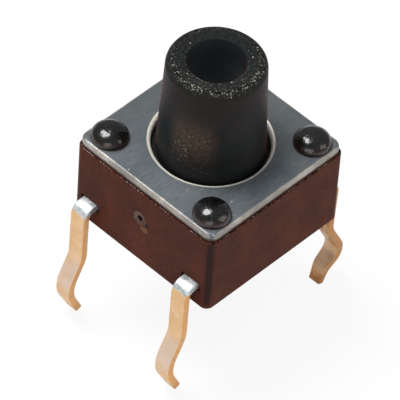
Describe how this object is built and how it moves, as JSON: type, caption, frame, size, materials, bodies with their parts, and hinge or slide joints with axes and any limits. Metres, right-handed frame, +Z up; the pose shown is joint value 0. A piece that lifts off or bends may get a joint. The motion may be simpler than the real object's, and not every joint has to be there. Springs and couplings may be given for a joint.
{
  "type": "tactile push button switch",
  "caption": "Square through-hole tactile push button switch with a tall hollow button stem, a riveted steel cover and four kinked leads.",
  "frame": {"origin": "middle of the base's underside, which is the plane that seats on the board", "axes": "+Z up along the button's stem; the four leads leave the two X faces, two on each, in pairs along Y"},
  "size_m": [0.0081, 0.006, 0.0108],
  "materials": {
    "base_moulding": "satin reddish dark brown moulding, glossy on the melted post heads",
    "cover_steel": "satin rolled steel sheet with fine scratches and bright rolled edges",
    "button_moulding": "satin near-black moulding with a finely speckled top",
    "dome_steel": "polished spring steel",
    "terminal_metal": "warm tan plated strip, bright at the shoulder bends"
  },
  "bodies": {
    "housing": {"base": "base_moulding", "cover": "cover_steel", "contact_dome": "dome_steel", "centre_terminal": "terminal_metal", "outer_terminal": "terminal_metal"},
    "button": {"plunger": "button_moulding"}
  },
  "joints": [
    {"name": "plunger_press", "type": "slide", "parent": "housing", "child": "button", "axis": [0, 0, -1], "range_m": [0, 0.00025], "stiffness_N_per_m": 6400, "deforming": ["contact_dome"]}
  ]
}
